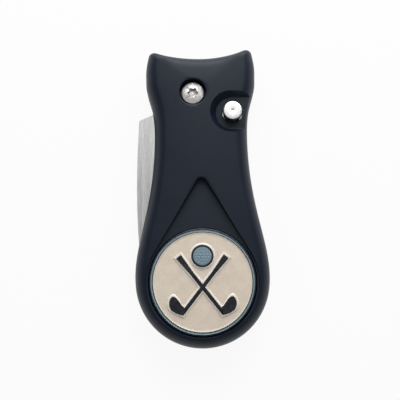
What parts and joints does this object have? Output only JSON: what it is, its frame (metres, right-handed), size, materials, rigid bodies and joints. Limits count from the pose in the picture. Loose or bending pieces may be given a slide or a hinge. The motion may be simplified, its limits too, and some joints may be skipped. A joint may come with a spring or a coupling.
{
  "type": "divot repair tool",
  "caption": "Pocket divot repair tool: a two-pronged fork swings out of a slim eared handle, with a press button lock and a magnetic ball marker.",
  "frame": {"origin": "on the flat back face, under the middle of the ball marker", "axes": "+Z out of the front face, +Y from the marker to the eared end, +X towards the side with the lock button"},
  "size_m": [0.0316, 0.0718, 0.0131],
  "materials": {
    "handle": "soft-touch matt black-blue",
    "blade": "brushed lengthwise",
    "bright_metal": "machined and polished",
    "spring_steel": "drawn wire",
    "inserts": "machined",
    "washers": "moulded nylon",
    "magnet": "nickel plated",
    "coin": "black nickel plate",
    "cream_enamel": "hard enamel",
    "blue_enamel": "hard enamel"
  },
  "bodies": {
    "handle": {"front_shell": "handle", "back_shell": "handle", "pivot_screw": "bright_metal", "pivot_post": "bright_metal", "washer_front": "washers", "washer_back": "washers", "fork_spring": "spring_steel", "button_spring": "spring_steel", "marker_magnet": "magnet", "shell_screw_1": "bright_metal", "shell_screw_2": "bright_metal", "shell_screw_3": "bright_metal", "screw_insert_1": "inserts", "screw_insert_2": "inserts", "screw_insert_3": "inserts"},
    "fork": {"fork_blade": "blade"},
    "button": {"lock_button": "bright_metal"},
    "marker": {"marker_coin": "coin", "marker_ring_enamel": "blue_enamel", "marker_field_enamel": "cream_enamel", "marker_clubs": "coin", "marker_ball_ring": "coin", "marker_ball_enamel": "blue_enamel"}
  },
  "joints": [
    {"name": "fork_swing", "type": "hinge", "parent": "handle", "child": "fork", "pos_m": [-0.00185, 0.04525, 0.0059], "axis": [0, 0, -1], "range_deg": [0, 175], "deforming": ["fork_spring"]},
    {"name": "button_press", "type": "slide", "parent": "handle", "child": "button", "axis": [0, 0, -1], "range_m": [0, 0.0023], "stiffness_N_per_m": 1500, "springref_m": -0.0013, "deforming": ["button_spring"]},
    {"name": "marker_lift", "type": "slide", "parent": "handle", "child": "marker", "axis": [0, 0, 1], "range_m": [0, 0.02]}
  ]
}
